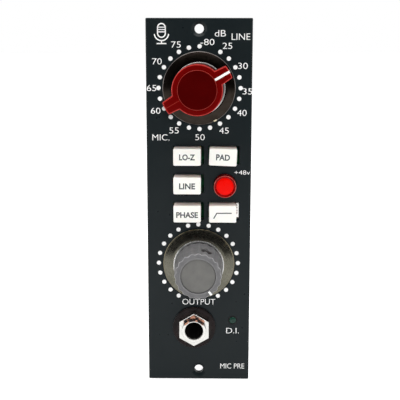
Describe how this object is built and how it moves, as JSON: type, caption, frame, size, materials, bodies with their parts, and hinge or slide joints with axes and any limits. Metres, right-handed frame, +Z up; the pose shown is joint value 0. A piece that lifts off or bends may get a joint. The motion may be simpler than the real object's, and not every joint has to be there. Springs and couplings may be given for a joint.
{
  "type": "microphone preamp module",
  "caption": "Single-width rack microphone preamp: narrow dark panel with winged red gain knob, fluted output knob, push buttons and jack, on a vented chassis with a card edge.",
  "frame": {"origin": "bottom centre of the front panel's rear face, the face that bears on the rack's rails", "axes": "+X right as seen from the front, +Y into the rack, +Z up"},
  "size_m": [0.0376, 0.1734, 0.1333],
  "materials": {
    "panel_paint": "fine matt paint, dark blue-green charcoal",
    "chassis_steel": "zinc plated sheet, lightly brushed",
    "fastener_zinc": "bright zinc",
    "jack_chrome": "polished",
    "spun_aluminium": "turned and polished",
    "knob_red": "satin moulded",
    "knob_dark_red": "satin moulded",
    "skirt_brown": "dark bronze anodised",
    "skirt_olive": "olive bronze anodised",
    "knob_grey": "satin moulded",
    "plastic_black": "moulded",
    "cap_white": "satin moulded, warm white",
    "phantom_red": "translucent red",
    "phantom_lens_red": "translucent bright red",
    "led_green": "translucent dark green, unlit",
    "board_green": "solder mask",
    "transformer_can": "drawn can",
    "capacitor_sleeve": "shrink sleeve",
    "relay_case": "moulded",
    "ribbon_grey": "flat cable"
  },
  "bodies": {
    "module": {"board_screw_1": "fastener_zinc", "board_screw_2": "fastener_zinc", "chassis": "chassis_steel", "cover_screw_1": "fastener_zinc", "cover_screw_2": "fastener_zinc", "cover_screw_3": "fastener_zinc", "cover_screw_4": "fastener_zinc", "di_led": "led_green", "front_board": "board_green", "front_panel": "panel_paint", "front_ribbon": "ribbon_grey", "gain_nut": "fastener_zinc", "gain_switch": "plastic_black", "heat_sink": "spun_aluminium", "input_transformer": "transformer_can", "jack_body": "plastic_black", "jack_nut": "jack_chrome", "jack_washer": "plastic_black", "line_switch": "plastic_black", "lo_z_switch": "plastic_black", "low_cut_switch": "plastic_black", "main_board": "board_green", "output_nut": "fastener_zinc", "output_pot": "plastic_black", "output_transformer": "transformer_can", "pad_switch": "plastic_black", "panel_nut_1": "fastener_zinc", "panel_nut_2": "fastener_zinc", "panel_nut_3": "fastener_zinc", "panel_nut_4": "fastener_zinc", "phantom_switch": "plastic_black", "phase_relay": "relay_case", "phase_switch": "plastic_black", "regulator": "plastic_black", "side_cover": "chassis_steel", "supply_capacitor_1": "capacitor_sleeve", "supply_capacitor_2": "capacitor_sleeve"},
    "gain_control": {"gain_shaft": "fastener_zinc", "gain_skirt": "skirt_brown", "gain_ring": "spun_aluminium", "gain_knob": "knob_red", "gain_knob_cap": "knob_dark_red"},
    "output_control": {"output_shaft": "fastener_zinc", "output_skirt": "skirt_olive", "output_ring": "spun_aluminium", "output_knob": "knob_grey", "output_knob_cap": "knob_grey"},
    "phantom_button": {"phantom_cap": "phantom_red", "phantom_lens": "phantom_lens_red"},
    "lo_z_button": {"lo_z_cap": "cap_white", "lo_z_plunger": "plastic_black"},
    "pad_button": {"pad_cap": "cap_white", "pad_plunger": "plastic_black"},
    "line_button": {"line_cap": "cap_white", "line_plunger": "plastic_black"},
    "phase_button": {"phase_cap": "cap_white", "phase_plunger": "plastic_black"},
    "low_cut_button": {"low_cut_cap": "cap_white", "low_cut_plunger": "plastic_black"}
  },
  "joints": [
    {"name": "gain_turn", "type": "hinge", "parent": "module", "child": "gain_control", "pos_m": [0, 0, 0.1091], "axis": [0, 1, 0], "range_deg": [-30, 300]},
    {"name": "output_turn", "type": "hinge", "parent": "module", "child": "output_control", "pos_m": [0, 0, 0.0453], "axis": [0, 1, 0], "range_deg": [-295, 5]},
    {"name": "lo_z_press", "type": "slide", "parent": "module", "child": "lo_z_button", "axis": [0, 1, 0], "range_m": [0, 0.0025], "stiffness_N_per_m": 400, "springref_m": -0.002},
    {"name": "pad_press", "type": "slide", "parent": "module", "child": "pad_button", "axis": [0, 1, 0], "range_m": [0, 0.0025], "stiffness_N_per_m": 400, "springref_m": -0.002},
    {"name": "line_press", "type": "slide", "parent": "module", "child": "line_button", "axis": [0, 1, 0], "range_m": [0, 0.0025], "stiffness_N_per_m": 400, "springref_m": -0.002},
    {"name": "phase_press", "type": "slide", "parent": "module", "child": "phase_button", "axis": [0, 1, 0], "range_m": [0, 0.0025], "stiffness_N_per_m": 400, "springref_m": -0.002},
    {"name": "low_cut_press", "type": "slide", "parent": "module", "child": "low_cut_button", "axis": [0, 1, 0], "range_m": [0, 0.0025], "stiffness_N_per_m": 400, "springref_m": -0.002},
    {"name": "phantom_press", "type": "slide", "parent": "module", "child": "phantom_button", "axis": [0, 1, 0], "range_m": [0, 0.002], "stiffness_N_per_m": 400, "springref_m": -0.002}
  ]
}
